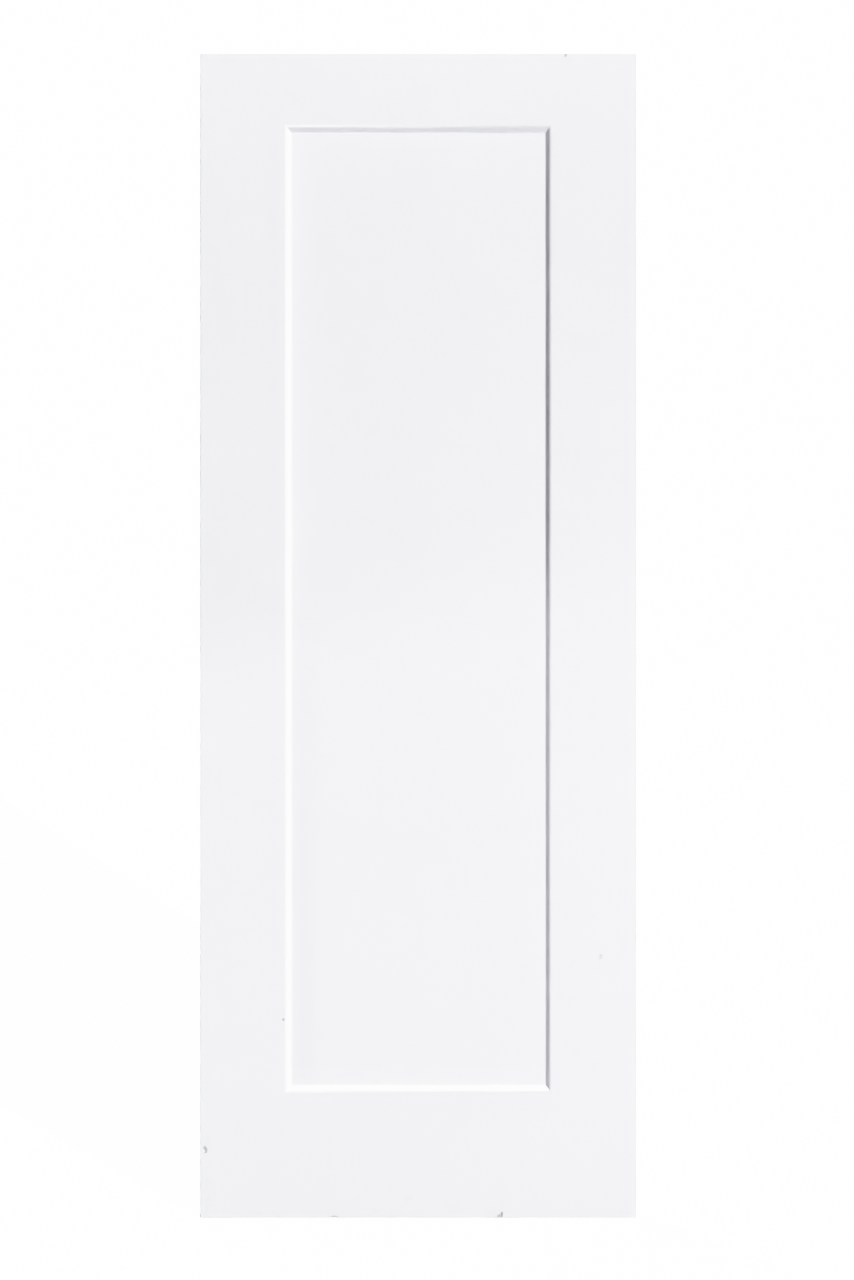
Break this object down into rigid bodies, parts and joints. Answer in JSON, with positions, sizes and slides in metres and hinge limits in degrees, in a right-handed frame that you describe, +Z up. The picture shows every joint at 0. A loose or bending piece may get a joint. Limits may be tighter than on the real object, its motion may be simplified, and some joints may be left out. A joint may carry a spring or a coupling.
{
  "type": "hollow core door slab",
  "caption": "Flush-edged interior door slab with a single sunk panel moulded into each primed skin, a softwood frame and a paper honeycomb core; blank edges, ready to hang.",
  "frame": {"origin": "foot of the left long edge as seen from the front, on the edge's own flat face, in the middle of the thickness", "axes": "+Z up along the long edge, +X across to the other long edge, the front looks along -Y"},
  "size_m": [0.762, 0.035, 2.032],
  "materials": {
    "primed_skin": "white factory primer on smooth fibreboard, eggshell",
    "softwood": "planed pine, primed white on the long edges and bare at the ends",
    "lock_block_wood": "raw softwood, sealed inside",
    "kraft_paper": "raw kraft paper, sealed inside"
  },
  "bodies": {
    "root": {"front_skin": "primed_skin", "back_skin": "primed_skin", "left_stile": "softwood", "right_stile": "softwood", "top_rail": "softwood", "bottom_rail": "softwood", "left_lock_block": "lock_block_wood", "right_lock_block": "lock_block_wood", "core_strip_01_lower": "kraft_paper", "core_strip_01_upper": "kraft_paper", "core_strip_02_lower": "kraft_paper", "core_strip_02_upper": "kraft_paper", "core_strip_03_lower": "kraft_paper", "core_strip_03_upper": "kraft_paper", "core_strip_04": "kraft_paper", "core_strip_05": "kraft_paper", "core_strip_06": "kraft_paper", "core_strip_07": "kraft_paper", "core_strip_08": "kraft_paper", "core_strip_09": "kraft_paper", "core_strip_10": "kraft_paper", "core_strip_11": "kraft_paper", "core_strip_12": "kraft_paper", "core_strip_13": "kraft_paper", "core_strip_14": "kraft_paper", "core_strip_15": "kraft_paper", "core_strip_16_lower": "kraft_paper", "core_strip_16_upper": "kraft_paper", "core_strip_17_lower": "kraft_paper", "core_strip_17_upper": "kraft_paper", "core_strip_18_lower": "kraft_paper", "core_strip_18_upper": "kraft_paper"}
  },
  "joints": []
}
